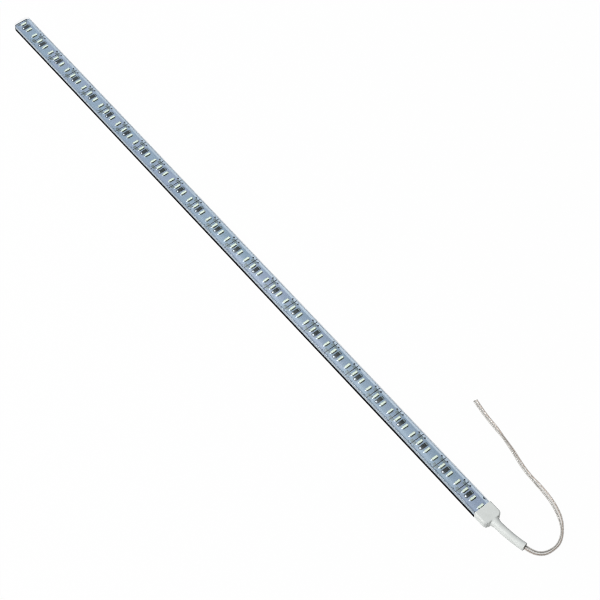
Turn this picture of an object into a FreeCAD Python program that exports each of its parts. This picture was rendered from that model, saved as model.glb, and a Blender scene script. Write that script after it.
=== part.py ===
import FreeCAD, Part
import math
import os

import Sketcher

# A rigid LED light strip: foam tape, metal-core board, LEDs and resistors in cut groups,
# a clear silicone coat, a moulded end cap with a spout, and a flat twin lead.
# Frame: +X along the strip towards the lead, +Z out of the lit face, origin at the middle
# of the adhesive back. Lengths are in millimetres.

DIMENSIONS = [
    # Repeat along the strip
    ("group_count", 24),
    ("leds_per_group", 3),
    ("led_pitch", 6.94444),
    ("first_led", 2.75),
    # LED package, its length lying across the strip
    ("led_length", 4.0),
    ("led_width", 1.4),
    ("led_height", 0.7),
    ("led_rim", 0.22),
    ("led_recess", 0.12),
    # Chip resistor, its length lying across the strip
    ("resistor_length", 5.0),
    ("resistor_width", 2.4),
    ("resistor_height", 0.55),
    ("terminal_length", 0.6),
    ("terminal_plating", 0.05),
    # Board and the score lines where it may be cut
    ("board_width", 12.0),
    ("board_thickness", 1.0),
    ("board_corner", 2.4),
    ("score_width", 0.25),
    ("score_depth", 0.12),
    # Foam tape under the board, and the coat over it
    ("tape_thickness", 3.0),
    ("coat_side", 0.3),
    ("coat_end", 1.6),
    ("coat_cover", 0.6),
    ("coat_edge", 0.8),
    # Lead: two cores side by side, each a stranded conductor in clear insulation
    ("core_diameter", 1.5),
    ("core_gap", 0.2),
    ("conductor_diameter", 0.8),
    ("conductor_lift", 0.1),
    # Solder joints on the board's end pads
    ("joint_spacing", 6.0),
    ("joint_base", 2.2),
    ("joint_top", 1.1),
    ("joint_cover", 0.05),
    ("joint_margin", 0.2),
    # Moulded end cap over the lead's end of the board
    ("cap_length", 10.6),
    ("cap_wall", 0.45),
    ("cap_fit", 0.05),
    ("cap_roof", 1.2),
    ("cap_end_wall", 1.3),
    ("cap_shoulder", 3.0),
    ("cap_edge", 0.9),
    ("joint_clearance", 0.25),
    ("core_clearance", 0.1),
    # Spout of the cap, bent a little to one side
    ("neck_width", 8.4),
    ("neck_length", 2.6),
    ("spout_lift", 0.8),
    ("spout_wall", 1.0),
    ("spout_tip_wall", 0.85),
    ("bore_clearance", 0.2),
    ("spout_length", 24.0),
    ("spout_bend", 100.0),
    ("lead_straight", 4.3),
]

# Route of the lead after its straight start: steps along X and Y from the spout's mouth,
# and the rise above lying on the surface, chosen by hand.
LEAD_ROUTE = [
    (7.8, 3.5, 1.3),
    (10.2, 7.3, 0.6),
    (11.0, 12.3, 0.1),
    (10.7, 17.4, 0.0),
    (7.9, 22.7, 0.0),
    (3.3, 27.4, 0.0),
    (-3.5, 31.3, 0.0),
    (-13.2, 34.2, 0.0),
    (-24.6, 35.2, 0.0),
    (-38.3, 35.5, 0.0),
    (-53.9, 39.2, 0.0),
    (-69.8, 41.4, 0.0),
    (-82.7, 42.5, 0.0),
    (-93.4, 44.6, 0.0),
]
ARC_SHARE = 0.45

Vector = FreeCAD.Vector
UP = Vector(0, 0, 1)
doc = FreeCAD.newDocument("led_light_strip")
nodes = []


def make_sheet():
    """The spreadsheet of driving dimensions, each with its own alias."""
    sheet = doc.addObject("Spreadsheet::Sheet", "dims")
    for row, (alias, value) in enumerate(DIMENSIONS, start=1):
        sheet.set(f"A{row}", alias)
        sheet.set(f"B{row}", str(value))
        sheet.setAlias(f"B{row}", alias)
    doc.recompute()
    return sheet


dims = make_sheet()


def size(alias):
    return float(dims.get(alias))


# Sizes and places that follow from the driving dimensions, as expressions
GROUP_PITCH = "dims.led_pitch * dims.leds_per_group"
BOARD_LENGTH = f"dims.group_count * {GROUP_PITCH}"
BOARD_TOP = "dims.tape_thickness + dims.board_thickness"
COAT_WIDTH = "dims.board_width + 2 * dims.coat_side"
COAT_START = f"-({BOARD_LENGTH}) / 2 - dims.coat_end"
JOINT_INSET = "dims.joint_base / 2 + dims.joint_margin"
JOINT_X = f"({BOARD_LENGTH}) / 2 - ({JOINT_INSET})"
JOINT_HEIGHT = "dims.conductor_lift + dims.conductor_diameter + dims.joint_cover"
CAP_OVERLAP = "dims.joint_base + 2 * dims.joint_margin"
CAP_START = f"({BOARD_LENGTH}) / 2 - ({CAP_OVERLAP})"
CAP_INSIDE = "dims.board_width + 2 * dims.cap_fit"
CAP_ROOM = f"{JOINT_HEIGHT} + dims.joint_clearance"
CAP_HEIGHT = f"{BOARD_TOP} + {CAP_ROOM} + dims.cap_roof"
COAT_LENGTH = f"{BOARD_LENGTH} + dims.coat_end - ({CAP_OVERLAP})"
COAT_HEIGHT = "dims.board_thickness + dims.led_height + dims.coat_cover"
LEAD_WIDTH = "2 * dims.core_diameter + dims.core_gap"
SPOUT_BORE = f"{LEAD_WIDTH} + 2 * dims.bore_clearance"
SPOUT_OUTER = f"{SPOUT_BORE} + 2 * dims.spout_wall"
SPOUT_TIP = f"{SPOUT_BORE} + 2 * dims.spout_tip_wall"


def value(expression):
    """An expression's value as a plain number, for the curved paths."""
    return float(dims.evalExpression(expression))


# The same places as numbers
board_end = value(BOARD_LENGTH) / 2
board_top = value(BOARD_TOP)
cap_end = value(CAP_START) + size("cap_length")
cap_roof = board_top + value(CAP_ROOM)
spout_height = size("spout_lift") + value(SPOUT_OUTER) / 2
lead_width = value(LEAD_WIDTH)
bend = size("spout_bend")
bend_angle = size("spout_length") / bend
mouth_heading = Vector(math.cos(bend_angle), math.sin(bend_angle), 0)


def bind(thing, **expressions):
    """Binds properties to sheet expressions; a double underscore stands for a dot."""
    for name, expression in expressions.items():
        thing.setExpression(name.replace("__", "."), expression)


def add(kind, name, **expressions):
    thing = doc.addObject(kind, name)
    bind(thing, **expressions)
    return thing


def node(thing, name):
    """Marks an object as a piece of the strip, under its own name."""
    thing.Label = name
    nodes.append(thing)
    return thing


def sketch_on(body, name):
    """A sketch on the body's own XY plane."""
    sketch = body.newObject("Sketcher::SketchObject", name)
    plane = next(f for f in body.Origin.OriginFeatures if f.Role == "XY_Plane")
    sketch.AttachmentSupport = [(plane, "")]
    sketch.MapMode = "FlatFace"
    return sketch


def rectangle(sketch, length, width, centred):
    """A rectangle even about the X axis, from the Y axis or centred on the origin."""
    corners = [Vector(0, -1, 0), Vector(2, -1, 0), Vector(2, 1, 0), Vector(0, 1, 0)]
    for start, end in zip(corners, corners[1:] + corners[:1]):
        sketch.addGeometry(Part.LineSegment(start, end))
    for line in range(4):
        sketch.addConstraint(Sketcher.Constraint("Coincident", line, 2, (line + 1) % 4, 1))
    for line, direction in ((0, "Horizontal"), (1, "Vertical"), (2, "Horizontal")):
        sketch.addConstraint(Sketcher.Constraint(direction, line))
    if centred:
        sketch.addConstraint(Sketcher.Constraint("Vertical", 3))
        sketch.addConstraint(Sketcher.Constraint("Symmetric", 0, 1, 1, 2, -1, 1))
    else:
        sketch.addConstraint(Sketcher.Constraint("Symmetric", 0, 1, 2, 2, -1))
        sketch.addConstraint(Sketcher.Constraint("PointOnObject", 0, 1, -2))
    for line, name, expression in ((0, "length", length), (1, "width", width)):
        index = sketch.addConstraint(Sketcher.Constraint("Distance", line, 2.0))
        sketch.renameConstraint(index, name)
        sketch.setExpression(f"Constraints.{name}", expression)


def slab(name, length, width, height, centred=False):
    """A body with one rectangular pad."""
    body = doc.addObject("PartDesign::Body", name)
    sketch = sketch_on(body, f"{name}_outline")
    rectangle(sketch, length, width, centred)
    pad = body.newObject("PartDesign::Pad", f"{name}_pad")
    pad.Profile = sketch
    pad.setExpression("Length", height)
    doc.recompute()
    return body


def round_edges(body, radius, wanted):
    """A fillet on the edges of the body's tip that the test picks out."""
    base = body.Tip
    names = [f"Edge{i}" for i, e in enumerate(base.Shape.Edges, start=1) if wanted(e)]
    fillet = body.newObject("PartDesign::Fillet", f"{body.Name}_fillet")
    fillet.Base = (base, names)
    fillet.setExpression("Radius", radius)
    doc.recompute()


def upright_at(edge, x):
    """Whether an edge is vertical and stands at that x."""
    box = edge.BoundBox
    return box.ZLength > 0.9 * edge.Length and abs(box.Center.x - x) < 1e-4


def flat_at(edge, z, end_x):
    """Whether an edge lies at that height, and not along the end at end_x."""
    box = edge.BoundBox
    along_end = box.XLength < 1e-4 and abs(box.Center.x - end_x) < 1e-4
    return box.ZLength < 1e-4 and abs(box.Center.z - z) < 1e-4 and not along_end


def make_board():
    """The metal-core board, with a score line between neighbouring groups."""
    body = slab("circuit_board", BOARD_LENGTH, "dims.board_width", "dims.board_thickness")
    box = body.Shape.BoundBox
    ends = (box.XMin, box.XMax)
    round_edges(body, "dims.board_corner", lambda e: any(upright_at(e, x) for x in ends))
    whole = body.Shape.Volume
    score = sketch_on(body, "score_outline")
    rectangle(score, "dims.score_width", "dims.board_width * 2", centred=True)
    bind(score, AttachmentOffset__Base__x=GROUP_PITCH, AttachmentOffset__Base__z="dims.board_thickness")
    pocket = body.newObject("PartDesign::Pocket", "score_line")
    pocket.Profile = score
    bind(pocket, Length="dims.score_depth")
    doc.recompute()
    lines = body.newObject("PartDesign::LinearPattern", "score_lines")
    lines.Originals = [pocket]
    lines.Direction = (score, ["H_Axis"])
    lines.Mode = "Spacing"
    bind(lines, Offset=GROUP_PITCH, Occurrences="dims.group_count - 1")
    body.Tip = lines
    bind(body, Placement__Base__x=f"-({BOARD_LENGTH}) / 2", Placement__Base__z="dims.tape_thickness")
    doc.recompute()
    cut = size("score_width") * size("score_depth") * size("board_width")
    count = round((whole - body.Shape.Volume) / cut)
    print("score lines cut:", count)
    return node(body, "circuit_board")


def make_tape():
    """The foam tape, as wide as the coat, up to the end cap."""
    body = slab("foam_tape", COAT_LENGTH, COAT_WIDTH, "dims.tape_thickness")
    start = body.Shape.BoundBox.XMin
    round_edges(body, "dims.board_corner + dims.coat_side", lambda e: upright_at(e, start))
    bind(body, Placement__Base__x=COAT_START)
    return node(body, "foam_tape")


def make_led_master():
    """One LED package: a housing with a shallow window over the phosphor."""
    body = slab("led_package", "dims.led_width", "dims.led_length", "dims.led_height", centred=True)
    window = sketch_on(body, "led_window")
    rectangle(
        window,
        "dims.led_width - 2 * dims.led_rim",
        "dims.led_length - 2 * dims.led_rim",
        centred=True,
    )
    bind(window, AttachmentOffset__Base__z="dims.led_height")
    recess = body.newObject("PartDesign::Pocket", "led_recess")
    recess.Profile = window
    bind(recess, Length="dims.led_recess")
    doc.recompute()
    return body


def make_resistor_master():
    """One chip resistor: a ceramic body with a plated terminal on each end."""
    body = doc.addObject("PartDesign::Body", "resistor_chip")
    chip = body.newObject("PartDesign::AdditiveBox", "resistor_body")
    bind(
        chip,
        Length="dims.resistor_width",
        Width="dims.resistor_length",
        Height="dims.resistor_height",
        Placement__Base__x="-dims.resistor_width / 2",
        Placement__Base__y="-dims.resistor_length / 2",
    )
    ends = (
        ("terminal_low", "-dims.resistor_length / 2 - dims.terminal_plating"),
        ("terminal_high", "dims.resistor_length / 2 - dims.terminal_length"),
    )
    for name, start in ends:
        terminal = body.newObject("PartDesign::AdditiveBox", name)
        bind(
            terminal,
            Length="dims.resistor_width + 2 * dims.terminal_plating",
            Width="dims.terminal_length + dims.terminal_plating",
            Height="dims.resistor_height + dims.terminal_plating",
            Placement__Base__x="-dims.resistor_width / 2 - dims.terminal_plating",
            Placement__Base__y=start,
        )
    doc.recompute()
    return body


def copy_of(master, name, x):
    """A copy of a master on the board's face, at that x expression."""
    link = doc.addObject("App::Link", name)
    link.setLink(master)
    bind(link, Placement__Base__x=x, Placement__Base__z=BOARD_TOP)
    return link


def make_groups():
    """The LEDs and the resistor of each group between two cut lines."""
    led = make_led_master()
    resistor = make_resistor_master()
    for group in range(int(size("group_count"))):
        name = f"{group + 1:02d}"
        start = f"{group} * {GROUP_PITCH} - ({BOARD_LENGTH}) / 2 + dims.first_led"
        leds = []
        for place in range(int(size("leds_per_group"))):
            leds.append(copy_of(led, f"led_{name}_{place + 1}", f"{start} + {place} * dims.led_pitch"))
        led_group = doc.addObject("Part::Compound", f"led_group_{name}")
        led_group.Links = leds
        node(led_group, f"led_group_{name}")
        chip = doc.addObject("Part::Compound", f"resistor_{name}")
        chip.Links = [copy_of(resistor, f"chip_{name}", f"{start} + dims.led_pitch / 2")]
        node(chip, f"resistor_{name}")


def make_coat(buried):
    """The clear coat, poured round the board and everything on it."""
    body = slab("coat_block", COAT_LENGTH, COAT_WIDTH, COAT_HEIGHT)
    box = body.Shape.BoundBox
    round_edges(body, "dims.board_corner + dims.coat_side", lambda e: upright_at(e, box.XMin))
    round_edges(body, "dims.coat_edge", lambda e: flat_at(e, box.ZMax, box.XMax))
    bind(body, Placement__Base__x=COAT_START, Placement__Base__z="dims.tape_thickness")
    inside = doc.addObject("Part::Compound", "buried_pieces")
    inside.Links = buried
    coat = doc.addObject("Part::Cut", "clear_coat")
    coat.Base = body
    coat.Tool = inside
    return node(coat, "clear_coat")


def bend_point(distance, side=0.0):
    """A point along the spout's axis, moved sideways by side."""
    angle = distance / bend
    radius = bend - side
    return Vector(
        cap_end + radius * math.sin(angle),
        bend - radius * math.cos(angle),
        spout_height,
    )


def across_spout(distance):
    """The rotation that lays a circle square across the spout there."""
    turn = FreeCAD.Rotation(UP, math.degrees(distance / bend))
    return turn.multiply(FreeCAD.Rotation(Vector(0, 1, 0), 90))


def spout_path(name, before, after):
    """The spout's axis, with straight ends before the bend and after it."""
    length = size("spout_length")
    start, middle, end = bend_point(0), bend_point(length / 2), bend_point(length)
    edges = [
        Part.LineSegment(start - Vector(before, 0, 0), start).toShape(),
        Part.Arc(start, middle, end).toShape(),
    ]
    if after:
        edges.append(Part.LineSegment(end, end + mouth_heading * after).toShape())
    path = doc.addObject("Part::Feature", name)
    path.Shape = Part.Wire(edges)
    return path


def circle(name, radius, centre, rotation):
    ring = add("Part::Circle", name, Radius=radius)
    ring.Placement = FreeCAD.Placement(centre, rotation)
    return ring


def sweep(name, path, sections):
    tube = doc.addObject("Part::Sweep", name)
    tube.Sections = sections
    tube.Spine = (path, [f"Edge{i + 1}" for i in range(len(path.Shape.Edges))])
    tube.Solid = True
    return tube


def make_cap():
    """The moulded end cap: a flat pocket for the board's end, a neck and a spout."""
    block = slab("cap_block", "dims.cap_length", f"{CAP_INSIDE} + 2 * dims.cap_wall", CAP_HEIGHT)
    box = block.Shape.BoundBox
    round_edges(block, "dims.cap_shoulder", lambda e: upright_at(e, box.XMax))
    round_edges(
        block,
        "dims.cap_edge",
        lambda e: flat_at(e, box.ZMax, box.XMin) or flat_at(e, box.ZMin, box.XMin),
    )
    bind(block, Placement__Base__x=CAP_START)

    inside = size("cap_end_wall")
    length = size("spout_length")
    root = bend_point(0) - Vector(inside, 0, 0)
    wide = add(
        "Part::Ellipse",
        "neck_root",
        MajorRadius="dims.neck_width / 2",
        MinorRadius=f"({SPOUT_OUTER}) / 2",
    )
    turned = FreeCAD.Rotation(UP, Vector(1, 0, 0)).multiply(FreeCAD.Rotation(UP, 90))
    wide.Placement = FreeCAD.Placement(root, turned)
    neck_end = bend_point(size("neck_length"))
    spout_radius = f"({SPOUT_OUTER}) / 2"
    narrow = circle("neck_end", spout_radius, neck_end, across_spout(size("neck_length")))
    neck = doc.addObject("Part::Loft", "neck")
    neck.Sections = [wide, narrow]
    neck.Solid = True

    spout = sweep(
        "spout",
        spout_path("spout_axis", inside, 0),
        [
            circle("spout_root", spout_radius, root, across_spout(0)),
            circle("spout_end", f"({SPOUT_TIP}) / 2", bend_point(length), across_spout(length)),
        ],
    )
    bore_start = bend_point(0) - Vector(2 * inside, 0, 0)
    bore = sweep(
        "bore",
        spout_path("bore_axis", 2 * inside, inside),
        [circle("bore_root", f"({SPOUT_BORE}) / 2", bore_start, across_spout(0))],
    )
    room_height = f"dims.board_thickness + {CAP_ROOM}"
    room = slab("cap_room", "dims.cap_length - dims.cap_end_wall", CAP_INSIDE, room_height)
    deep_end = room.Shape.BoundBox.XMax
    round_edges(room, "dims.cap_shoulder - dims.cap_wall", lambda e: upright_at(e, deep_end))
    bind(room, Placement__Base__x=CAP_START, Placement__Base__z="dims.tape_thickness")
    outside = doc.addObject("Part::MultiFuse", "cap_outside")
    outside.Shapes = [block, neck, spout]
    hollow = doc.addObject("Part::MultiFuse", "cap_hollow")
    hollow.Shapes = [room, bore]
    cap = doc.addObject("Part::Cut", "end_cap")
    cap.Base = outside
    cap.Tool = hollow
    return node(cap, "end_cap")


def rounded_route(points):
    """Straight runs joined by tangent arcs, each as large as its runs allow, and their radii."""
    edges = []
    radii = []
    last = points[0]
    for before, corner, after in zip(points, points[1:], points[2:]):
        back, ahead = before - corner, after - corner
        half_turn = (math.pi - back.getAngle(ahead)) / 2
        reach = ARC_SHARE * min(back.Length, ahead.Length)
        radius = reach / math.tan(half_turn)
        back.normalize()
        ahead.normalize()
        start, end = corner + back * reach, corner + ahead * reach
        inward = back + ahead
        inward.normalize()
        middle = corner + inward * (radius / math.cos(half_turn) - radius)
        edges.append(Part.LineSegment(last, start).toShape())
        edges.append(Part.Arc(start, middle, end).toShape())
        radii.append(radius)
        last = end
    edges.append(Part.LineSegment(last, points[-1]).toShape())
    return Part.Wire(edges), radii


def tube_along(name, points, radius):
    """A round tube along a rounded route, with the route's radii and length."""
    wire, radii = rounded_route(points)
    path = doc.addObject("Part::Feature", f"{name}_route")
    path.Shape = wire
    heading = FreeCAD.Rotation(UP, points[1] - points[0])
    tube = sweep(f"{name}_tube", path, [circle(f"{name}_section", radius, points[0], heading)])
    return tube, radii, wire.Length


def make_lead():
    """The lead outside the cap, from the spout's mouth to its cut end."""
    mouth = bend_point(size("spout_length"))
    points = [mouth, mouth + mouth_heading * size("lead_straight")]
    for along, aside, rise in LEAD_ROUTE:
        points.append(Vector(mouth.x + along, mouth.y + aside, lead_width / 2 + rise))
    tube, radii, length = tube_along("lead", points, f"({LEAD_WIDTH}) / 2")
    doc.recompute()
    section = math.pi * lead_width**2 / 4
    print("lead radii:", [round(r, 1) for r in radii])
    print("lead length:", round(length, 1))
    print("lead volume over section times length:", round(tube.Shape.Volume / section / length, 4))
    return node(tube, "lead_wire")


def make_lead_inside():
    """The lead's two cores in the spout, stripped and soldered to the board's end pads."""
    apart = (size("core_diameter") + size("core_gap")) / 2
    pad_y = size("joint_spacing") / 2
    core = size("core_diameter")
    joint_x = value(JOINT_X)
    wire_z = board_top + size("conductor_lift") + size("conductor_diameter") / 2
    core_z = cap_roof - size("core_clearance") - core / 2
    strip_x = board_end + core / 2
    neck_x = cap_end - size("cap_end_wall")
    straight = (neck_x - strip_x) / 3
    steps = 4
    cores = []
    joints = []
    for name, side in (("low", -1), ("high", 1)):
        points = [
            Vector(strip_x, side * pad_y, core_z),
            Vector(strip_x + straight, side * pad_y, core_z),
            Vector(neck_x, side * apart, spout_height),
        ]
        for step in range(steps):
            points.append(bend_point(step / steps * size("spout_length"), side * apart))
        mouth = bend_point(size("spout_length"), side * apart)
        points += [mouth - mouth_heading * core, mouth]
        tube, _, _ = tube_along(f"core_{name}", points, "dims.core_diameter / 2")
        conductor = add("Part::Cylinder", f"conductor_{name}", Radius="dims.conductor_diameter / 2")
        bind(conductor, Height=f"{JOINT_INSET} + dims.core_diameter")
        along = FreeCAD.Rotation(UP, Vector(1, 0, 0))
        conductor.Placement = FreeCAD.Placement(Vector(joint_x, side * pad_y, wire_z), along)
        soldered = doc.addObject("Part::MultiFuse", f"core_{name}_stripped")
        soldered.Shapes = [tube, conductor]
        cores.append(soldered)
        bead = add(
            "Part::Cone",
            f"bead_{name}",
            Radius1="dims.joint_base / 2",
            Radius2="dims.joint_top / 2",
            Height=JOINT_HEIGHT,
            Placement__Base__x=JOINT_X,
            Placement__Base__y=f"{side} * dims.joint_spacing / 2",
            Placement__Base__z=BOARD_TOP,
        )
        joint = doc.addObject("Part::Cut", f"joint_{name}")
        joint.Base = bead
        joint.Tool = soldered
        joints.append(joint)
    lead = doc.addObject("Part::Compound", "lead_cores")
    lead.Links = cores
    node(lead, "lead_cores")
    solder = doc.addObject("Part::Compound", "solder_joints")
    solder.Links = joints
    node(solder, "solder_joints")


def write_parts():
    """Checks every object and piece, then writes each piece to its own file."""
    failed = [o.Name for o in doc.Objects if "Invalid" in o.State or "Error" in o.State]
    bad = [n.Label for n in nodes if n.Shape.isNull() or not n.Shape.isValid()]
    if failed or bad:
        raise RuntimeError(f"failed objects {failed}, bad shapes {bad}")
    os.makedirs("parts", exist_ok=True)
    for piece in nodes:
        piece.Shape.exportStep(f"parts/{piece.Label}.step")
    print(len(nodes), "pieces written")


make_board()
make_tape()
make_groups()
doc.recompute()
make_coat([n for n in nodes if n.Label != "foam_tape"])
make_cap()
make_lead()
make_lead_inside()
doc.recompute()
write_parts()
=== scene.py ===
import math

import bmesh
import bpy
from mathutils import Matrix, Vector, noise


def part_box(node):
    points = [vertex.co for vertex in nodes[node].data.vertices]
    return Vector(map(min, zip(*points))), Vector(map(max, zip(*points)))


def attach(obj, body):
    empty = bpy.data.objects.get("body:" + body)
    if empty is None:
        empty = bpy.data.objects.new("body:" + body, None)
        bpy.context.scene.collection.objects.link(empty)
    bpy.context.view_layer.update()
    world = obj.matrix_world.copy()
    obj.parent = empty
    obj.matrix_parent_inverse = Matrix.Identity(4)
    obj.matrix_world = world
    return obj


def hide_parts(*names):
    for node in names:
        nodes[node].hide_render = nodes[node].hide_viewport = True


# Looks for the rigid LED light strip. Shapes are worked out in millimetres, in the row frame,
# and turned to metres when a piece is made. Near and far are as the camera sees the strip: its
# near side is at -Y, and its far end is the one without the lead.

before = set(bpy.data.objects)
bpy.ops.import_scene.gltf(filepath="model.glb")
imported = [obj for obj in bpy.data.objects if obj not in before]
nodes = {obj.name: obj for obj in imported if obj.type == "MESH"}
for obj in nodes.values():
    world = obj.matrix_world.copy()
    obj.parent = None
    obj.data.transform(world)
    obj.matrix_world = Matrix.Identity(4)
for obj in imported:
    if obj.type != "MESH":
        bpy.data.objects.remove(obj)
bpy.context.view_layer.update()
scene = bpy.context.scene

MM = 0.001

# Sizes of the solids, as in the part's source; the resistor's two count its plating.
GROUPS = 24
LEDS = 3
LED_PITCH = 6.94444
GROUP_PITCH = LEDS * LED_PITCH
FIRST_LED = 2.75
LED_LENGTH, LED_WIDTH, LED_HEIGHT = 4.0, 1.4, 0.7
LED_RIM, LED_RECESS = 0.22, 0.12
RESISTOR_LENGTH, TERMINAL_LENGTH = 5.1, 0.65
BOARD_CORNER = 2.4
SCORE_WIDTH, SCORE_DEPTH = 0.25, 0.12

board_low, board_high = (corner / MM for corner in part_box("circuit_board"))
coat_low, coat_high = (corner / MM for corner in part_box("clear_coat"))
BOARD_TOP = board_high.z


def srgb(red, green, blue):
    """A colour as seen on a screen, from 0 to 255, as the linear values that shaders take."""
    out = []
    for channel in (red, green, blue):
        part = channel / 255
        out.append(part / 12.92 if part < 0.04045 else ((part + 0.055) / 1.055) ** 2.4)
    return (*out, 1.0)


class Look:
    """A node material, built up by naming its textures and where they go."""

    def __init__(self, name, color, roughness, metallic=0.0, specular=0.5):
        self.material = bpy.data.materials.new(name)
        self.material.use_nodes = True
        self.tree = self.material.node_tree
        self.base = self.tree.nodes["Principled BSDF"]
        self.output = self.tree.nodes["Material Output"]
        self.set(self.base, "Base Color", color)
        self.set(self.base, "Roughness", roughness)
        self.set(self.base, "Metallic", metallic)
        self.set(self.base, "Specular IOR Level", specular)
        self.place = self.add("ShaderNodeTexCoord").outputs["Object"]

    def add(self, kind, **settings):
        """A new node with its settings."""
        node = self.tree.nodes.new(kind)
        for name, value in settings.items():
            setattr(node, name, value)
        return node

    def feed(self, socket, value):
        """Sets a socket to a value, or links it where the value is another node's output."""
        if isinstance(value, bpy.types.NodeSocket):
            self.tree.links.new(value, socket)
        else:
            socket.default_value = value

    def set(self, node, name, value):
        """Feeds the input that has this name."""
        self.feed(node.inputs[name], value)

    def noise(self, size_mm, detail=3.0, stretch=(1, 1, 1)):
        """Noise from 0 to 1, with features of about that size."""
        mapping = self.add("ShaderNodeMapping")
        self.set(mapping, "Vector", self.place)
        self.set(mapping, "Scale", stretch)
        texture = self.add("ShaderNodeTexNoise")
        self.set(texture, "Vector", mapping.outputs["Vector"])
        self.set(texture, "Scale", 1 / (size_mm * MM))
        self.set(texture, "Detail", detail)
        return texture.outputs["Fac"]

    def cells(self, size_mm):
        """Distance to the nearest of scattered points, for foam."""
        texture = self.add("ShaderNodeTexVoronoi")
        self.set(texture, "Vector", self.place)
        self.set(texture, "Scale", 1 / (size_mm * MM))
        return texture.outputs["Distance"]

    def axis(self, name):
        """The place along one axis, in millimetres."""
        split = self.add("ShaderNodeSeparateXYZ")
        self.set(split, "Vector", self.place)
        return self.math("MULTIPLY", split.outputs[name], 1 / MM)

    def math(self, operation, first, second):
        """An arithmetic step on two values."""
        node = self.add("ShaderNodeMath", operation=operation)
        self.feed(node.inputs[0], first)
        self.feed(node.inputs[1], second)
        return node.outputs["Value"]

    def step(self, value, start, end):
        """0 before the start and 1 past the end, with a smooth change between."""
        node = self.add("ShaderNodeMapRange", interpolation_type="SMOOTHSTEP")
        self.set(node, "Value", value)
        self.set(node, "From Min", start)
        self.set(node, "From Max", end)
        return node.outputs["Result"]

    def spread(self, value, low, high):
        """A 0 to 1 value taken to the range from low to high."""
        node = self.add("ShaderNodeMapRange")
        self.set(node, "Value", value)
        self.set(node, "To Min", low)
        self.set(node, "To Max", high)
        return node.outputs["Result"]

    def ramp(self, value, low, high, start=0.3, end=0.7):
        """From one colour to another while a value goes from start to end."""
        node = self.add("ShaderNodeValToRGB")
        self.set(node, "Fac", value)
        for element, position, color in zip(node.color_ramp.elements, (start, end), (low, high)):
            element.position = position
            element.color = color
        return node.outputs["Color"]

    def mix(self, amount, first, second):
        """From the first colour to the second by an amount from 0 to 1."""
        node = self.add("ShaderNodeMix", data_type="RGBA")
        # The colours' sockets come after those for numbers and vectors.
        for index, value in ((0, amount), (6, first), (7, second)):
            self.feed(node.inputs[index], value)
        return node.outputs[2]

    def tint(self, *ramp):
        """Lets the base colour run along a ramp; it takes what ramp takes."""
        self.set(self.base, "Base Color", self.ramp(*ramp))

    def roughen(self, value, low, high):
        """Lets the roughness run from low to high along a value."""
        self.set(self.base, "Roughness", self.spread(value, low, high))

    def bump(self, height, depth_mm, strength):
        """Lets a value raise the surface."""
        node = self.add("ShaderNodeBump")
        self.set(node, "Height", height)
        self.set(node, "Distance", depth_mm * MM)
        self.set(node, "Strength", strength)
        self.set(self.base, "Normal", node.outputs["Normal"])
        return node.outputs["Normal"]

    def clear_film(self, normal, roughness, haze, haze_color, ior):
        """A clear surface: what is behind it, some haze, and gloss by the angle of view, outside only."""
        through = self.add("ShaderNodeBsdfTransparent")
        cloud = self.add("ShaderNodeBsdfDiffuse")
        self.set(cloud, "Color", haze_color)
        self.set(cloud, "Normal", normal)
        inside = self.add("ShaderNodeMixShader")
        self.set(inside, "Fac", haze)
        self.tree.links.new(through.outputs[0], inside.inputs[1])
        self.tree.links.new(cloud.outputs[0], inside.inputs[2])
        gloss = self.add("ShaderNodeBsdfGlossy")
        self.set(gloss, "Roughness", roughness)
        self.set(gloss, "Normal", normal)
        edge = self.add("ShaderNodeFresnel")
        self.set(edge, "IOR", ior)
        self.set(edge, "Normal", normal)
        outside = self.math("SUBTRACT", 1.0, self.add("ShaderNodeNewGeometry").outputs["Backfacing"])
        whole = self.add("ShaderNodeMixShader")
        self.set(whole, "Fac", self.math("MULTIPLY", edge.outputs["Fac"], outside))
        self.tree.links.new(inside.outputs[0], whole.inputs[1])
        self.tree.links.new(gloss.outputs[0], whole.inputs[2])
        self.tree.links.new(whole.outputs[0], self.output.inputs["Surface"])
        self.tree.nodes.remove(self.base)


# Materials

# Gloss of what lies under the coat: silicone wets it, so it reflects little of its own.
UNDER_COAT = 0.06
# Where looks change across the strip, in y, and along it towards the cap, in x. The mask's pale side bands
# are painted highlights, and past the middle stretch they and the coat's near rim are painted brighter
# towards the cap as sheen.
MASK_FAR_HIGHLIGHT, MASK_NEAR_HIGHLIGHT = (3.9, 4.6), (-5.2, -5.7)
COAT_FAR_RIM, COAT_NEAR_RIM = (5.8, 6.25), (-5.8, -6.25)
NEAR_HALF_SHEEN_STRETCH, FAR_STRETCH = (-60, 80), (-240, 60)


def board_mask():
    """Pale grey-blue solder mask, a little cloudy, with pale bands along both long sides painted on as
    highlights of the coat's edges; the far band is painted brighter towards the cap as sheen.
    """
    look = Look("solder_mask", srgb(155, 171, 187), 0.42, specular=UNDER_COAT)
    cloud = look.noise(9.0, 4.0, (0.6, 1, 1))
    cast = look.step(look.noise(14.0, 2.0, (0.5, 1, 1)), 0.42, 0.62)
    fine = look.noise(0.5, 2.0)
    tone = look.ramp(cloud, srgb(131, 155, 174), srgb(145, 166, 187))
    tone = look.mix(look.spread(cast, 0.0, 0.45), tone, srgb(152, 160, 188))
    tone = look.mix(look.spread(fine, 0.0, 0.04), tone, srgb(120, 136, 152))
    # Painted highlight: pale bands along both long sides, and the far one grows brighter towards the cap as
    # painted sheen.
    towards_cap = look.step(look.axis("X"), *NEAR_HALF_SHEEN_STRETCH)
    far_highlight = look.ramp(towards_cap, srgb(176, 191, 205), srgb(191, 206, 220), 0.0, 1.0)
    across = look.axis("Y")
    tone = look.mix(look.step(across, *MASK_FAR_HIGHLIGHT), tone, far_highlight)
    tone = look.mix(look.step(across, *MASK_NEAR_HIGHLIGHT), tone, srgb(172, 185, 198))
    look.set(look.base, "Base Color", tone)
    look.roughen(fine, 0.36, 0.5)
    look.bump(fine, 0.01, 0.3)
    return look.material


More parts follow.
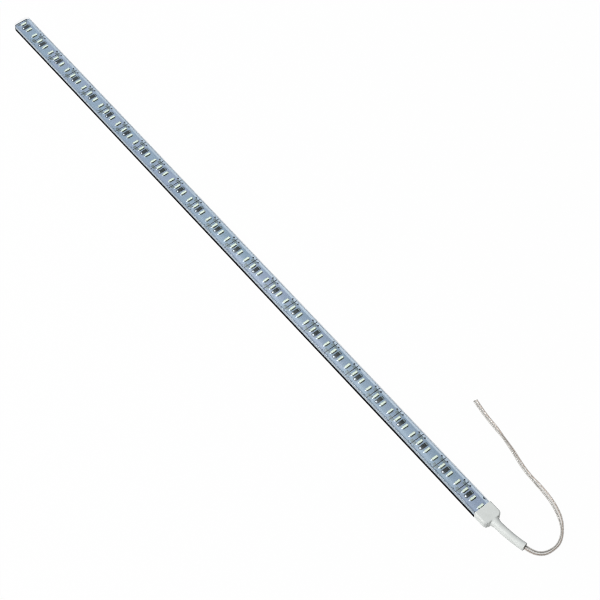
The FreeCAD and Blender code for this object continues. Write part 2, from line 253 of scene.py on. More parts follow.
def bare_metal():
    """Sawn aluminium at the board's edges."""
    look = Look("board_core", srgb(196, 206, 216), 0.4, metallic=0.5)
    grain = look.noise(0.25, stretch=(0.08, 1, 1))
    look.tint(grain, srgb(176, 188, 200), srgb(212, 222, 232))
    look.roughen(grain, 0.3, 0.55)
    look.bump(grain, 0.02, 0.4)
    return look.material


def printed_ink(name, low, high):
    """Matt print, thin in places."""
    look = Look(name, low, 0.6, specular=UNDER_COAT)
    wear = look.noise(0.3)
    look.tint(wear, low, high, 0.35, 0.75)
    look.roughen(wear, 0.5, 0.7)
    return look.material


def bright_tin(name, low, high, metallic=1.0):
    """Reflowed solder or plating, with a slightly frosted skin."""
    look = Look(name, high, 0.3, metallic=metallic, specular=UNDER_COAT)
    grain = look.noise(0.22)
    look.tint(grain, low, high)
    look.roughen(grain, 0.2, 0.42)
    look.bump(grain, 0.02, 0.35)
    return look.material


def led_housing(name, low, high):
    """Moulded LED body, with a yellow-green cast from the gel inside; the dark copy made for the walls is
    painted shade.
    """
    look = Look(name, high, 0.35, specular=UNDER_COAT)
    fine = look.noise(0.2, 2.0)
    look.tint(fine, low, high)
    look.bump(fine, 0.006, 0.3)
    return look.material


def led_phosphor():
    """Pale phosphor gel with fine grains."""
    look = Look("led_phosphor", srgb(244, 252, 222), 0.22, specular=UNDER_COAT)
    grain = look.noise(0.09, 2.0)
    look.tint(grain, srgb(225, 242, 218), srgb(238, 250, 240), 0.25)
    look.roughen(grain, 0.15, 0.35)
    look.bump(grain, 0.01, 0.4)
    return look.material


def resistor_glaze():
    """Near-black glaze."""
    look = Look("resistor_glaze", srgb(8, 11, 16), 0.28, specular=0.02)
    grain = look.noise(0.4)
    look.tint(grain, srgb(5, 13, 13), srgb(18, 34, 36))
    look.roughen(grain, 0.22, 0.4)
    look.bump(grain, 0.015, 0.4)
    return look.material


def foam():
    """Black closed-cell foam: fine pits over a matt skin."""
    look = Look("black_foam", srgb(10, 10, 12), 0.9, specular=0.05)
    cloud = look.noise(2.0)
    look.tint(cloud, srgb(6, 6, 8), srgb(16, 17, 19))
    look.roughen(cloud, 0.82, 0.97)
    look.bump(look.cells(0.28), 0.08, 0.7)
    return look.material


def poured_silicone():
    """Clear silicone over the board, hazy white at its long edges and a little hazy towards the far end; the
    near edge's haze grows towards the cap as a painted sheen.
    """
    look = Look("clear_silicone", (1, 1, 1, 1), 0.2)
    ripple = look.math("MULTIPLY", look.noise(6.0, 0.5, (0.5, 1, 1)), 2.0)
    fine = look.math("MULTIPLY", look.noise(0.7, 2.0), 0.04)
    normal = look.bump(look.math("ADD", ripple, fine), 0.012, 0.5)
    across, along = look.axis("Y"), look.axis("X")
    body = look.spread(look.step(along, *FAR_STRETCH), 0.07, 0.015)
    far_rim = look.spread(look.step(across, *COAT_FAR_RIM), 0.0, 0.48)
    # Painted sheen: the near rim's haze grows towards the cap.
    near_rim_haze_and_sheen = look.spread(look.step(along, *NEAR_HALF_SHEEN_STRETCH), 0.34, 0.64)
    near_rim = look.math("MULTIPLY", look.step(across, *COAT_NEAR_RIM), near_rim_haze_and_sheen)
    haze = look.math("ADD", body, look.math("ADD", far_rim, near_rim))
    look.clear_film(normal, 0.18, haze, srgb(188, 202, 213), ior=1.41)
    return look.material


def moulded_silicone():
    """White silicone rubber with a dusty skin."""
    look = Look("white_silicone", srgb(214, 217, 214), 0.5, specular=0.4)
    cloud = look.noise(5.0)
    dust = look.noise(0.35)
    tone = look.ramp(cloud, srgb(217, 220, 217), srgb(228, 231, 228))
    tone = look.mix(look.spread(dust, 0.0, 0.05), tone, srgb(196, 198, 194))
    look.set(look.base, "Base Color", tone)
    look.roughen(dust, 0.42, 0.62)
    look.bump(dust, 0.008, 0.3)
    return look.material


def clear_vinyl():
    """Clear insulation of the lead, uneven and somewhat hazy."""
    look = Look("clear_vinyl", (1, 1, 1, 1), 0.2)
    fine = look.noise(0.6, 2.0)
    normal = look.bump(fine, 0.02, 0.4)
    look.clear_film(normal, 0.16, look.spread(fine, 0.3, 0.42), srgb(196, 190, 181), ior=1.5)
    return look.material


def core_vinyl():
    """Insulated cores inside the cap, seen only at the spout's mouth."""
    look = Look("core_vinyl", srgb(176, 166, 154), 0.3)
    fine = look.noise(0.8, 2.0)
    look.tint(fine, srgb(160, 148, 134), srgb(188, 180, 170))
    look.bump(fine, 0.02, 0.3)
    return look.material


def drawn_wire(name, low, high):
    """Fine drawn strands, duller in places."""
    look = Look(name, high, 0.3, metallic=0.9)
    cloud = look.noise(1.5)
    look.tint(cloud, low, high)
    look.roughen(cloud, 0.25, 0.45)
    return look.material


MASK = board_mask()
CORE = bare_metal()
INK = printed_ink("print_ink", srgb(26, 32, 40), srgb(58, 68, 78))
MASK_EDGE = printed_ink("mask_edge", srgb(104, 116, 126), srgb(132, 144, 153))
# Dark olive patch under each LED: painted shadow.
LED_PAINTED_SHADOW = printed_ink("led_painted_shadow", srgb(54, 66, 46), srgb(82, 95, 70))
TIN = bright_tin("bright_tin", srgb(196, 200, 204), srgb(232, 235, 237))
# Lit and shaded copies of one solder: the bright tin on the near joints is a painted glint, and the darker
# tin on the far joints is painted shade.
GLINT_TIN = bright_tin("glint_tin", srgb(168, 176, 185), srgb(206, 213, 220))
SHADED_JOINT_TIN = bright_tin("shaded_part_tin", srgb(128, 139, 148), srgb(166, 176, 185))
# Tinned pads coloured dark grey-green, standing in for the dark they reflect: painted reflection.
PAD_TIN = bright_tin("pad_tin", srgb(88, 102, 106), srgb(118, 132, 136), 0.3)
# Dark tin on the resistors' joints and near terminals: painted shade.
SHADE_TIN = bright_tin("shade_tin", srgb(52, 60, 68), srgb(78, 87, 95), 0.3)
HOUSING = led_housing("led_housing", srgb(212, 226, 204), srgb(226, 238, 222))
# The walls' dark olive copy of the housing is painted shade.
HOUSING_WALL_SHADE = led_housing("led_wall_shade", srgb(64, 78, 54), srgb(90, 104, 78))
PHOSPHOR = led_phosphor()
GLAZE = resistor_glaze()
FOAM = foam()
COAT = poured_silicone()
RUBBER = moulded_silicone()
VINYL = clear_vinyl()
CORE_VINYL = core_vinyl()
TINNED = drawn_wire("tinned_strands", srgb(108, 108, 104), srgb(156, 156, 152))
COPPER = drawn_wire("copper_strands", srgb(146, 126, 112), srgb(184, 164, 149))


# Making pieces


def piece(name, bm, material, smooth_angle=None):
    """Turns a mesh drawn in millimetres into a piece that stays with the strip."""
    bmesh.ops.recalc_face_normals(bm, faces=bm.faces)
    bmesh.ops.scale(bm, vec=(MM, MM, MM), verts=bm.verts)
    mesh = bpy.data.meshes.new(name)
    bm.to_mesh(mesh)
    bm.free()
    mesh.materials.append(material)
    if smooth_angle is not None:
        mesh.shade_smooth()
        mesh.set_sharp_from_angle(angle=math.radians(smooth_angle))
    thing = bpy.data.objects.new(name, mesh)
    scene.collection.objects.link(thing)
    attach(thing, "root")
    return thing


def prism(bm, outline, height):
    """A flat closed outline raised from the board's top."""
    bottom = [bm.verts.new((x, y, BOARD_TOP)) for x, y in outline]
    top = [bm.verts.new((x, y, BOARD_TOP + height)) for x, y in outline]
    bm.faces.new(bottom[::-1])
    bm.faces.new(top)
    for i in range(len(outline)):
        j = (i + 1) % len(outline)
        bm.faces.new((bottom[i], bottom[j], top[j], top[i]))


def rounded(x, y, length, width, radius, steps=4):
    """The outline of a rectangle with round corners, about a centre."""
    points = []
    for quarter, (sx, sy) in enumerate(((1, 1), (-1, 1), (-1, -1), (1, -1))):
        cx, cy = x + sx * (length / 2 - radius), y + sy * (width / 2 - radius)
        for step in range(steps + 1):
            angle = (quarter + step / steps) * math.pi / 2
            points.append((cx + radius * math.cos(angle), cy + radius * math.sin(angle)))
    return points


def skin(bm, rings):
    """Joins rings of as many points each into one closed surface."""
    rows = [[bm.verts.new(point) for point in ring] for ring in rings]
    count = len(rows[0])
    for near, far in zip(rows, rows[1:]):
        for i in range(count):
            j = (i + 1) % count
            bm.faces.new((near[i], near[j], far[j], far[i]))
    bm.faces.new(rows[0][::-1])
    bm.faces.new(rows[-1])


def level(outline, height):
    """A flat outline taken up to a height."""
    return [(x, y, height) for x, y in outline]


def group_starts():
    """Where the groups start, in x."""
    return [board_low.x + group * GROUP_PITCH for group in range(GROUPS)]


def cut_lines():
    """Where the board may be cut, in x."""
    return group_starts()[1:]


def led_places():
    """The middle of each LED, in x."""
    return [start + FIRST_LED + place * LED_PITCH for start in group_starts() for place in range(LEDS)]


def resistor_places():
    """The middle of each resistor, in x: half way between a group's first two LEDs."""
    return [start + FIRST_LED + LED_PITCH / 2 for start in group_starts()]


# Print and copper on the board

PRINT_HEIGHT, PRINT_CORNER = 0.045, 0.05
CUT_LINE_LENGTH, CUT_LINE_WIDTH, CUT_LINE_GAP, CUT_LINE_Y = 10.6, 0.14, 0.08, 0.2
MARK_FROM_CUT, PLUS_Y, MINUS_Y = 2.6, 4.35, -4.6
PLUS_HALF_LENGTH, PLUS_HALF_STROKE = 0.7, 0.27
MINUS_LENGTH, MINUS_STROKE, MINUS_CORNER = 1.1, 0.34, 0.08
# An arrow and a bar by the cap, in x from the board's end
END_ARROW = ((-8.0, 5.7), (-8.0, 5.3), (-6.8, 4.8), (-5.8, 5.3), (-5.8, 5.7))
END_BAR_X, END_BAR_Y, END_BAR_LENGTH, END_BAR_WIDTH, END_BAR_CORNER = -3.4, -5.3, 1.5, 0.7, 0.2

# Step of the mask along each long side: its place in y and its width
MASK_STEP_HEIGHT, MASK_STEP_CORNER = 0.035, 0.05
MASK_STEPS = ((5.75, 0.2), (-5.55, 0.16))

# Pads at the cuts; their levels are how far in from the outline, and how high
PAD_LENGTH, PAD_WIDTH, PAD_CORNER, PAD_Y, PAD_GAP = 1.7, 2.2, 0.35, 2.9, 0.2
PAD_LEVELS = ((0.0, 0.0), (0.0, 0.03), (0.14, 0.07), (0.4, 0.09))

# Copper under the mask: rails along both sides, and links, each with its middle from the group's
# first LED, its place in y and its length
TRACE_HEIGHT, TRACE_CORNER = 0.03, 0.2
RAIL_Y, RAIL_WIDTH, RAIL_GAP = 4.6, 0.9, 1.2
LINK_WIDTH = 0.8
LINKS = ((1.75, 2.95, 4.4), (5.2, -3.05, 4.6), (1.5 * LED_PITCH, 2.95, 8.2))


def plus_outline(x, y):
    """The outline of a plus sign about a centre, a quarter at a time."""
    corner = [
        (PLUS_HALF_LENGTH, PLUS_HALF_STROKE),
        (PLUS_HALF_STROKE, PLUS_HALF_STROKE),
        (PLUS_HALF_STROKE, PLUS_HALF_LENGTH),
    ]
    points = []
    for _ in range(4):
        points += [(x + dx, y + dy) for dx, dy in corner]
        corner = [(-dy, dx) for dx, dy in corner]
    return points


def make_print():
    """Dark lines along the cuts, a plus and a minus either side of each, and two marks by the cap."""
    bm = bmesh.new()
    for x in cut_lines():
        for side in (-1, 1):
            line = x + side * (SCORE_WIDTH / 2 + CUT_LINE_GAP)
            outline = rounded(line, CUT_LINE_Y, CUT_LINE_WIDTH, CUT_LINE_LENGTH, PRINT_CORNER, steps=2)
            prism(bm, outline, PRINT_HEIGHT)
            mark = x + side * MARK_FROM_CUT
            prism(bm, plus_outline(mark, PLUS_Y), PRINT_HEIGHT)
            minus = rounded(mark, MINUS_Y, MINUS_LENGTH, MINUS_STROKE, MINUS_CORNER, steps=2)
            prism(bm, minus, PRINT_HEIGHT)
    end = board_high.x
    prism(bm, [(end + x, y) for x, y in END_ARROW], PRINT_HEIGHT)
    bar = rounded(end + END_BAR_X, END_BAR_Y, END_BAR_LENGTH, END_BAR_WIDTH, END_BAR_CORNER)
    prism(bm, bar, PRINT_HEIGHT)
    piece("board_print", bm, INK)


def make_mask_edge():
    """The step where the mask stops short of the board's long sides."""
    bm = bmesh.new()
    start, end = board_low.x + BOARD_CORNER, coat_high.x
    for y, width in MASK_STEPS:
        outline = rounded((start + end) / 2, y, end - start, width, MASK_STEP_CORNER, steps=2)
        prism(bm, outline, MASK_STEP_HEIGHT)
    piece("mask_edge", bm, MASK_EDGE)


def make_pad(bm, x, y):
    """One tinned pad, swelling a little towards its middle."""
    rings = []
    for inset, rise in PAD_LEVELS:
        length, width = PAD_LENGTH - 2 * inset, PAD_WIDTH - 2 * inset
        outline = rounded(x, y, length, width, PAD_CORNER - inset / 2, steps=3)
        rings.append(level(outline, BOARD_TOP + rise))
    skin(bm, rings)


def make_pads():
    """Pads either side of each cut, where a lead may be soldered, and at the far end, their tin coloured
    dark grey-green as a painted reflection.
    """
    from_cut = SCORE_WIDTH / 2 + PAD_GAP + PAD_LENGTH / 2
    places = [board_low.x + from_cut]
    for x in cut_lines():
        places += [x - from_cut, x + from_cut]
    bm = bmesh.new()
    for x in places:
        for y in (-PAD_Y, PAD_Y):
            make_pad(bm, x, y)
    piece("cut_pads", bm, PAD_TIN, smooth_angle=40)


def make_traces():
    """The low relief of the copper under the mask: two rails and the links between parts."""
    bm = bmesh.new()
    for start in group_starts():
        for y in (-RAIL_Y, RAIL_Y):
            middle, length = start + GROUP_PITCH / 2, GROUP_PITCH - RAIL_GAP
            prism(bm, rounded(middle, y, length, RAIL_WIDTH, TRACE_CORNER), TRACE_HEIGHT)
        for middle, y, length in LINKS:
            outline = rounded(start + FIRST_LED + middle, y, length, LINK_WIDTH, TRACE_CORNER)
            prism(bm, outline, TRACE_HEIGHT)
    piece("trace_relief", bm, MASK, smooth_angle=40)


# Solder and gel

# Fillets: how hollow the slope is, how the width grows and its toe is rounded, how far the flanks fall,
# and where the points of a section lie across it
FILLET_STEPS, FILLET_TOE, FILLET_HOLLOW = 6, 0.04, 1.9
FILLET_SPREAD, FILLET_ROUND, FILLET_FALL = 0.12, 0.3, 0.75
FILLET_ACROSS = (0.96, 0.7, 0.25, -0.25, -0.7, -0.96)
# The bright drop on each resistor's near joint; its levels are a share of its outline, and how high
DROP_LENGTH, DROP_WIDTH, DROP_CORNER, DROP_INSET = 1.4, 1.1, 0.42, 0.05
DROP_LEVELS = ((1.0, 0.02), (1.0, 0.3), (0.92, 0.5), (0.7, 0.66), (0.35, 0.72))
# The LEDs' near joints sit a little to one side, and so does the dark patch under each LED, a painted
# shadow.
NEAR_JOINT_SHIFT = -0.1
SHADOW_SHIFT_X, SHADOW_SHIFT_Y = 0.22, -0.1
SHADOW_WIDTH, SHADOW_LENGTH = LED_WIDTH + 0.66, LED_LENGTH - 0.3
SHADOW_CORNER, SHADOW_HEIGHT = 0.15, 0.025
# Gel in the LEDs' windows; its levels are how far in from the window's outline, and how high
GEL_CORNER = 0.16
GEL_LEVELS = ((0.01, 0.01), (0.01, 0.105), (0.1, 0.08), (0.28, 0.065))


def fillet(bm, x, wall, reach, width, height):
    """A solder fillet from a part's end wall outwards, hollow in its slope and round at its toe."""
    rings = []
    for step in range(FILLET_STEPS + 1):
        share = step / FILLET_STEPS
        rise = height * (1 - share) ** FILLET_HOLLOW + FILLET_TOE
        half = width / 2 * (1 + FILLET_SPREAD * share - FILLET_ROUND * share**6)
        y = wall + math.copysign(reach * share, wall)
        ring = [(x - half, y, BOARD_TOP), (x + half, y, BOARD_TOP)]
        for across in FILLET_ACROSS:
            top = rise * (1 - FILLET_FALL * abs(across) ** 5)
            ring.append((x + half * across, y, BOARD_TOP + top))
        rings.append(ring)
    skin(bm, rings)


def make_solder():
    """Solder at the far end of every LED, coloured a darker copy of the near joints' solder as painted
    shade.
    """
    bm = bmesh.new()
    for x in led_places():
        fillet(bm, x, LED_LENGTH / 2, reach=0.7, width=1.5, height=0.3)
    piece("part_solder", bm, SHADED_JOINT_TIN, smooth_angle=50)


def make_resistor_solder():
    """Joints at both ends of every resistor, coloured dark as painted shade."""
    bm = bmesh.new()
    for x in resistor_places():
        fillet(bm, x, -RESISTOR_LENGTH / 2, reach=0.8, width=2.3, height=0.5)
        fillet(bm, x, RESISTOR_LENGTH / 2, reach=0.6, width=2.2, height=0.5)
    piece("resistor_solder", bm, SHADE_TIN, smooth_angle=50)


def make_solder_drops():
    """Solder on the near side: a drop on every resistor's joint, and the LEDs' joints, coloured brighter
    than the same solder elsewhere as a painted glint.
    """
    bm = bmesh.new()
    for x in resistor_places():
        rings = []
        for share, rise in DROP_LEVELS:
            length, width, corner = DROP_LENGTH * share, DROP_WIDTH * share, DROP_CORNER * share
            outline = rounded(x, DROP_INSET - RESISTOR_LENGTH / 2, length, width, corner)
            rings.append(level(outline, BOARD_TOP + rise))
        skin(bm, rings)
    for x in led_places():
        fillet(bm, x + NEAR_JOINT_SHIFT, -LED_LENGTH / 2, reach=0.85, width=1.0, height=0.22)
    piece("solder_drops", bm, GLINT_TIN, smooth_angle=60)


def make_led_painted_shadows():
    """A dark olive patch under each LED, reaching out past it mostly on its +x side: a painted shadow."""
    bm = bmesh.new()
    for x in led_places():
        middle = (x + SHADOW_SHIFT_X, SHADOW_SHIFT_Y)
        outline = rounded(*middle, SHADOW_WIDTH, SHADOW_LENGTH, SHADOW_CORNER, steps=2)
        prism(bm, outline, SHADOW_HEIGHT)
    piece("led_painted_shadows", bm, LED_PAINTED_SHADOW)


def make_phosphor():
    """The gel in every LED's window, drawn up a little at its rim."""
    bm = bmesh.new()
    floor = BOARD_TOP + LED_HEIGHT - LED_RECESS
    for x in led_places():
        rings = []
        for inset, rise in GEL_LEVELS:
            width, length = (size - 2 * (LED_RIM + inset) for size in (LED_WIDTH, LED_LENGTH))
            outline = rounded(x, 0.0, width, length, GEL_CORNER - inset / 5, steps=3)
            rings.append(level(outline, floor + rise))
        skin(bm, rings)
    piece("led_gel", bm, PHOSPHOR, smooth_angle=60)


# Coat

COAT_CORNER, COAT_EDGE, COAT_CROWN, COAT_LIFT = 2.7, 0.8, 0.2, 0.02
EDGE_STEPS, TOP_STEPS, LENGTH_STEPS = 6, 12, 230
# Sections round the far end's corners, by their distance from the end
END_SECTIONS = (0.0, 0.03, 0.1, 0.22, 0.4, 0.6, 0.8, 1.1, 1.5, 2.0)
# Waves in the top: their height, their length along and across the strip, and a layer of the noise
COAT_WAVES = ((0.05, 14, 5, 3.0), (0.003, 4, 3, 8.0))


def coat_wave(x, y):
    """Long gentle waves in the coat's top, and faint short ones."""
    waves = [height * noise.noise((x / long, y / wide, layer)) for height, long, wide, layer in COAT_WAVES]
    return sum(waves)


def rounding(distance, radius):
    """How far a round corner stays back, at a distance from where it starts."""
    if distance >= radius:
        return 0.0
    return radius - math.sqrt(radius**2 - (radius - distance) ** 2)


def coat_section(along):
    """The coat's section at a distance from its far end: up the near side, over, and down the far one."""
    x = coat_low.x + along
    reach = coat_high.y - rounding(along, COAT_CORNER)
    roof = coat_high.z - rounding(along, COAT_EDGE)
    side = [(reach, coat_low.z + COAT_LIFT)]
    for step in range(EDGE_STEPS + 1):
        angle = step / EDGE_STEPS * math.pi / 2
        y = reach - COAT_EDGE * (1 - math.cos(angle))
        side.append((y, roof - COAT_EDGE * (1 - math.sin(angle))))
    top = []
    for step in range(1, TOP_STEPS):
        share = step / TOP_STEPS * 2 - 1
        y = share * (reach - COAT_EDGE)
        top.append((x, y, roof + (COAT_CROWN + coat_wave(x, y)) * (1 - share**2)))
    return [(x, -y, z) for y, z in side] + top + [(x, y, z) for y, z in reversed(side)]


def make_coat():
    """The poured coat: round top edges, a slight crown, and gentle waves along it."""
    straight = coat_high.x - coat_low.x - COAT_CORNER
    sections = list(END_SECTIONS)
    sections += [COAT_CORNER + straight * i / LENGTH_STEPS for i in range(LENGTH_STEPS + 1)]
    bm = bmesh.new()
    skin(bm, [coat_section(along) for along in sections])
    coat = piece("poured_coat", bm, COAT, smooth_angle=50)
    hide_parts("clear_coat")


# End cap

CAP_WELD, CAP_VOXEL = 0.005, 0.16
CAP_SOFTENING, CAP_SOFTENING_ROUNDS = 0.5, 14


def make_cap():
    """The end cap with its edges and the root of its spout run together as moulded rubber does."""
    cap = bpy.data.objects.new("soft_cap", nodes["end_cap"].data.copy())
    scene.collection.objects.link(cap)
    weld = cap.modifiers.new("weld", "WELD")
    weld.merge_threshold = CAP_WELD * MM
    remesh = cap.modifiers.new("remesh", "REMESH")
    remesh.mode = "VOXEL"
    remesh.voxel_size = CAP_VOXEL * MM
    soften = cap.modifiers.new("soften", "SMOOTH")
    soften.factor = CAP_SOFTENING
    soften.iterations = CAP_SOFTENING_ROUNDS
    made = bpy.data.meshes.new_from_object(cap.evaluated_get(bpy.context.evaluated_depsgraph_get()))
    cap.modifiers.clear()
    cap.data = made
    made.materials.clear()
    made.materials.append(RUBBER)
    made.shade_smooth()
    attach(cap, "root")
    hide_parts("end_cap")


# Lead

# Route of the lead, in millimetres, as in the part's source; where the flat lead lies on its
# broad side the points are let down to suit.
SPOUT_BEND, SPOUT_LENGTH, SPOUT_START, SPOUT_HEIGHT = 100.0, 24.0, 258.0, 3.6
LEAD_STRAIGHT = 4.3
LEAD_ROUTE = [
    (7.8, 3.5, 2.9),
    (10.2, 7.3, 2.2),
    (11.0, 12.3, 1.75),
    (10.7, 17.4, 1.6),
    (7.9, 22.7, 1.62),
    (3.3, 27.4, 1.65),
    (-3.5, 31.3, 1.3),
    (-13.2, 34.2, 1.1),
    (-24.6, 35.2, 1.05),
    (-38.3, 35.5, 1.1),
    (-53.9, 39.2, 1.35),
    (-69.8, 41.4, 1.4),
    (-82.7, 42.5, 1.05),
    (-93.4, 44.6, 0.95),
]
# How far the lead is turned about itself along its length: share of the length, degrees.
LEAD_ROLL = [
    (0.0, 0), (0.08, -10), (0.16, -45), (0.25, -72), (0.29, -52), (0.33, -18), (0.47, -20),
    (0.53, 18), (0.62, 20), (0.7, 30), (0.77, 46), (0.83, 16), (0.92, 16), (1.0, 8),
]
ROUTE_STEPS = 18
# Section of the twin: the cores' radius, how far each lies from the middle, and where its round
# meets the web, in degrees from its outer side
CORE_RADIUS, CORE_APART, CORE_ROUND, CORE_STEPS = 0.75, 0.85, 150, 8
# Strands of a core: all but one wind about the one in the middle, a turn to each lay
WINDING_STRANDS, STRAND_RADIUS, STRAND_OFFSET, STRAND_LAY = 6, 0.11, 0.22, 11
STRAND_SIDES, STRAND_END = 6, 0.12


def lead_points():
    """Points along the lead, read from one smooth spline that its route guides."""
    angle = SPOUT_LENGTH / SPOUT_BEND
    mouth = Vector((
        SPOUT_START + SPOUT_BEND * math.sin(angle),
        SPOUT_BEND * (1 - math.cos(angle)),
        SPOUT_HEIGHT,
    ))
    heading = Vector((math.cos(angle), math.sin(angle), 0))
    route = [mouth, mouth + heading * LEAD_STRAIGHT]
    route += [Vector((mouth.x + x, mouth.y + y, z)) for x, y, z in LEAD_ROUTE]
    curve = bpy.data.curves.new("lead_route", "CURVE")
    curve.dimensions = "3D"
    curve.resolution_u = ROUTE_STEPS
    spline = curve.splines.new("NURBS")
    spline.points.add(len(route) - 1)
    for point, place in zip(spline.points, route):
        point.co = (*(place * MM), 1.0)
    spline.order_u = 3
    spline.use_endpoint_u = True
    holder = bpy.data.objects.new("lead_route", curve)
    mesh = bpy.data.meshes.new_from_object(holder)
    points = [v.co / MM for v in mesh.vertices]
    bpy.data.meshes.remove(mesh)
    bpy.data.objects.remove(holder)
    bpy.data.curves.remove(curve)
    return points


def lead_roll(share):
    """How far the lead is turned about itself at a share of its length, in radians."""
    stretches = zip(LEAD_ROLL, LEAD_ROLL[1:])
    (start, low), (end, high) = next(pair for pair in stretches if share <= pair[1][0])
    t = (share - start) / (end - start)
    return math.radians(low + (high - low) * t * t * (3 - 2 * t))


def along_lead(points):
    """For each point: its place, the lead's broad and thin directions there, and the length so far."""
    lengths = [0.0]
    for near, far in zip(points, points[1:]):
        lengths.append(lengths[-1] + (far - near).length)
    stations = []
    for i, point in enumerate(points):
        ahead = (points[min(i + 1, len(points) - 1)] - points[max(i - 1, 0)]).normalized()
        side = Vector((-ahead.y, ahead.x, 0)).normalized()
        up = ahead.cross(side)
        turn = lead_roll(lengths[i] / lengths[-1])
        broad = side * math.cos(turn) + up * math.sin(turn)
        stations.append((point, broad, ahead.cross(broad), lengths[i]))
    return stations


def twin_outline():
    """The lead's section: two round cores joined by a thin web."""
    half = []
    for step in range(-CORE_STEPS, CORE_STEPS + 1):
        angle = step / CORE_STEPS * math.radians(CORE_ROUND)
        half.append((CORE_APART + CORE_RADIUS * math.cos(angle), CORE_RADIUS * math.sin(angle)))
    return half + [(-x, -y) for x, y in half]


def strand_rings(stations, side, strand):
    """Rings along one strand of the core on that side, a little past the lead's cut end."""
    rings = []
    for place, broad, thin, length in stations:
        off, turn = 0.0, 0.0
        if strand < WINDING_STRANDS:
            off = STRAND_OFFSET
            turn = (strand / WINDING_STRANDS + length / STRAND_LAY) * math.tau
        centre = place + broad * (side * CORE_APART + off * math.cos(turn)) + thin * (off * math.sin(turn))
        ring = []
        for corner in range(STRAND_SIDES):
            angle = corner / STRAND_SIDES * math.tau
            ring.append(
                centre + broad * (STRAND_RADIUS * math.cos(angle)) + thin * (STRAND_RADIUS * math.sin(angle))
            )
        rings.append(ring)
    ahead = (stations[-1][0] - stations[-2][0]).normalized()
    rings.append([point + ahead * STRAND_END for point in rings[-1]])
    return rings


def make_lead():
    """The clear twin lead with its two stranded conductors."""
    stations = along_lead(lead_points())
    outline = twin_outline()
    bm = bmesh.new()
    skin(bm, [[place + broad * a + thin * b for a, b in outline] for place, broad, thin, _ in stations])
    jacket = piece("twin_lead", bm, VINYL, smooth_angle=50)

    for name, side, material in (("tinned_core", 1, TINNED), ("copper_core", -1, COPPER)):
        bm = bmesh.new()
        for strand in range(WINDING_STRANDS + 1):
            skin(bm, strand_rings(stations, side, strand))
        piece(name, bm, material, smooth_angle=60)

    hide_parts("lead_wire")


# Materials on the carried-over solids

# A face counts as facing along an axis when its normal reaches this far along it, and as a part of a
# terminal when its centre comes this near to it.
FACING, NEARNESS = 0.9, 0.01


def paint(name, materials, pick=None):
    """Gives a solid its materials; pick chooses one by a face's centre, in millimetres, and normal."""
    mesh = nodes[name].data
    mesh.materials.clear()
    for material in materials:
        mesh.materials.append(material)
    for face in mesh.polygons:
        chosen = pick(face.center / MM, face.normal) if pick else materials[0]
        face.material_index = materials.index(chosen)


def board_face(centre, normal):
    """Mask on top, the dark print colour in the score grooves as painted shade, and bare metal round the
    edge and below.
    """
    # The score grooves' floors and walls take the dark print colour: painted shade.
    if normal.z > FACING:
        return INK if centre.z < BOARD_TOP - SCORE_DEPTH / 2 else MASK
    in_score = abs(normal.x) > FACING and abs(centre.x) < board_high.x - BOARD_CORNER
    return INK if in_score else CORE


def led_face(centre, normal):
    """Bright where the housing faces up; its walls take a dark olive copy of the body, painted shade."""
    return HOUSING if normal.z > FACING else HOUSING_WALL_SHADE


def resistor_face(centre, normal):
    """Glaze in the middle, a near terminal painted dark as shade, and a paler far terminal in the pads' dark
    tin, a painted reflection.
    """
    if abs(centre.y) < RESISTOR_LENGTH / 2 - TERMINAL_LENGTH - NEARNESS:
        return GLAZE
    return SHADE_TIN if centre.y < 0 else PAD_TIN


def paint_solids():
    """Materials for every solid that shows as it is."""
    paint("circuit_board", [MASK, CORE, INK], board_face)
    paint("foam_tape", [FOAM])
    paint("lead_cores", [CORE_VINYL])
    paint("solder_joints", [TIN])
    for group in range(1, GROUPS + 1):
        paint(f"led_group_{group:02d}", [HOUSING, HOUSING_WALL_SHADE], led_face)
        paint(f"resistor_{group:02d}", [GLAZE, SHADE_TIN, PAD_TIN], resistor_face)


# Stage

# Camera, fitted to the LED row and the strip's edges: places and lens in millimetres, roll in radians
CAMERA_PLACE, CAMERA_TARGET = (537.871, -363.866, 921.467), (61.899, 8.724, 1.2)
CAMERA_LENS, CAMERA_SENSOR, CAMERA_ROLL = 102.27, 36.0, -0.00883
# Floor, in metres: it lies just under the strip, and this share of it shows white whatever the light
FLOOR_RADIUS, FLOOR_HEIGHT = 6.0, -0.00005
FLOOR_GREY, FLOOR_WHITE = 0.75, 0.98
# Strength of the white surroundings, as they light the strip and as they are seen
SKY_LIGHT, SKY_SEEN = 0.2, 1.0
# Lamps, in metres and watts
KEY_PLACE, KEY_TARGET = (-0.45, -1.06, 1.24), (-0.05, 0, 0)
KEY_SIZE, KEY_POWER = (0.8, 0.8), 27.2
SHEEN_PLACE, SHEEN_TARGET = (-0.37, 0.272, 1.07), (-0.37, 0.272, 0)
SHEEN_SIZE, SHEEN_POWER, SHEEN_COLOR = (0.54, 0.1), 2.2, (0.84, 0.94, 1.0)
# Width of the filter that a pixel is gathered with
PIXEL_FILTER = 1.1


def make_camera():
    """The view of the photograph."""
    data = bpy.data.cameras.new("camera")
    data.sensor_width = CAMERA_SENSOR
    data.lens = CAMERA_LENS
    camera = bpy.data.objects.new("camera", data)
    scene.collection.objects.link(camera)
    place, target = Vector(CAMERA_PLACE) * MM, Vector(CAMERA_TARGET) * MM
    turn = (target - place).to_track_quat("-Z", "Y").to_matrix().to_4x4()
    camera.matrix_world = Matrix.Translation(place) @ turn @ Matrix.Rotation(CAMERA_ROLL, 4, "Z")
    scene.camera = camera


def seen_directly(tree):
    """1 for rays from the camera, a reflection or a clear surface, and 0 for light."""
    path = tree.nodes.new("ShaderNodeLightPath")
    total = path.outputs["Is Camera Ray"]
    for name in ("Is Glossy Ray", "Is Transmission Ray"):
        either = tree.nodes.new("ShaderNodeMath")
        either.operation = "MAXIMUM"
        tree.links.new(total, either.inputs[0])
        tree.links.new(path.outputs[name], either.inputs[1])
        total = either.outputs[0]
    return total


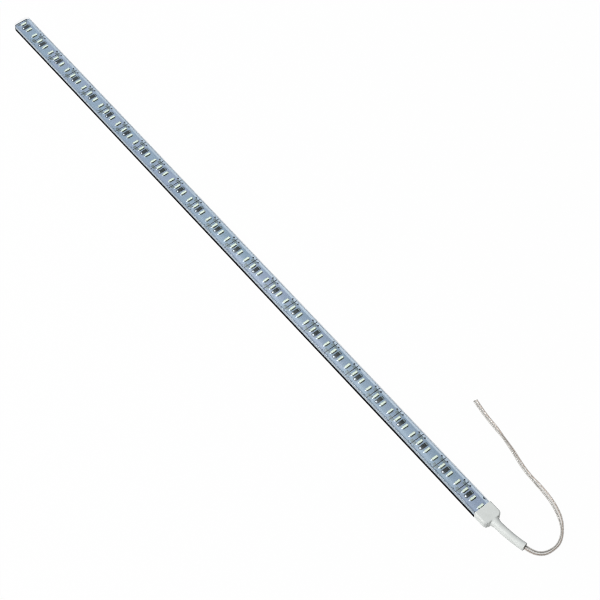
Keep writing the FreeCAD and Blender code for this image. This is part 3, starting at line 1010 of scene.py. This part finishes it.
def floor_material():
    """White where it is seen, with a trace of the shadow, and grey where it throws light back."""
    material = bpy.data.materials.new("floor")
    material.use_nodes = True
    tree = material.node_tree
    tree.nodes.clear()
    lit = tree.nodes.new("ShaderNodeBsdfDiffuse")
    lit.inputs["Color"].default_value = (FLOOR_GREY, FLOOR_GREY, FLOOR_GREY, 1)
    white = tree.nodes.new("ShaderNodeEmission")
    share = tree.nodes.new("ShaderNodeMath")
    share.operation = "MULTIPLY"
    share.inputs[1].default_value = FLOOR_WHITE
    tree.links.new(seen_directly(tree), share.inputs[0])
    mix = tree.nodes.new("ShaderNodeMixShader")
    tree.links.new(share.outputs[0], mix.inputs["Fac"])
    tree.links.new(lit.outputs[0], mix.inputs[1])
    tree.links.new(white.outputs[0], mix.inputs[2])
    output = tree.nodes.new("ShaderNodeOutputMaterial")
    tree.links.new(mix.outputs[0], output.inputs["Surface"])
    return material


def make_floor():
    """A wide flat floor."""
    bm = bmesh.new()
    bmesh.ops.create_circle(bm, cap_ends=True, segments=64, radius=FLOOR_RADIUS)
    mesh = bpy.data.meshes.new("floor")
    bm.to_mesh(mesh)
    bm.free()
    mesh.materials.append(floor_material())
    floor = bpy.data.objects.new("floor", mesh)
    floor.location.z = FLOOR_HEIGHT
    scene.collection.objects.link(floor)


def make_world():
    """White surroundings that give less light than they show."""
    world = bpy.data.worlds.new("studio")
    scene.world = world
    world.use_nodes = True
    tree = world.node_tree
    back = tree.nodes["Background"]
    back.inputs["Color"].default_value = (1, 1, 1, 1)
    strength = tree.nodes.new("ShaderNodeMapRange")
    strength.inputs["To Min"].default_value = SKY_LIGHT
    strength.inputs["To Max"].default_value = SKY_SEEN
    tree.links.new(seen_directly(tree), strength.inputs["Value"])
    tree.links.new(strength.outputs["Result"], back.inputs["Strength"])


def area_light(name, place, target, size, power, color=(1, 1, 1)):
    """A rectangular lamp turned to its target."""
    data = bpy.data.lights.new(name, "AREA")
    data.shape = "RECTANGLE"
    data.size, data.size_y = size
    data.energy = power
    data.color = color
    lamp = bpy.data.objects.new(name, data)
    lamp.location = place
    lamp.rotation_euler = (Vector(target) - Vector(place)).to_track_quat("-Z", "Y").to_euler()
    scene.collection.objects.link(lamp)


def make_lights():
    """A soft key from the near left, and a strip that the coat mirrors along its near half."""
    area_light("key", KEY_PLACE, KEY_TARGET, KEY_SIZE, KEY_POWER)
    area_light("sheen", SHEEN_PLACE, SHEEN_TARGET, SHEEN_SIZE, SHEEN_POWER, SHEEN_COLOR)


def set_render():
    """Plain colours, crisp pixels, and both lamps sampled alike."""
    scene.view_settings.view_transform = "Standard"
    scene.cycles.filter_width = PIXEL_FILTER
    scene.cycles.use_light_tree = False


make_print()
make_mask_edge()
make_pads()
make_traces()
make_solder()
make_resistor_solder()
make_solder_drops()
make_led_painted_shadows()
make_phosphor()
make_coat()
make_cap()
make_lead()
paint_solids()
make_camera()
make_floor()
make_world()
make_lights()
set_render()
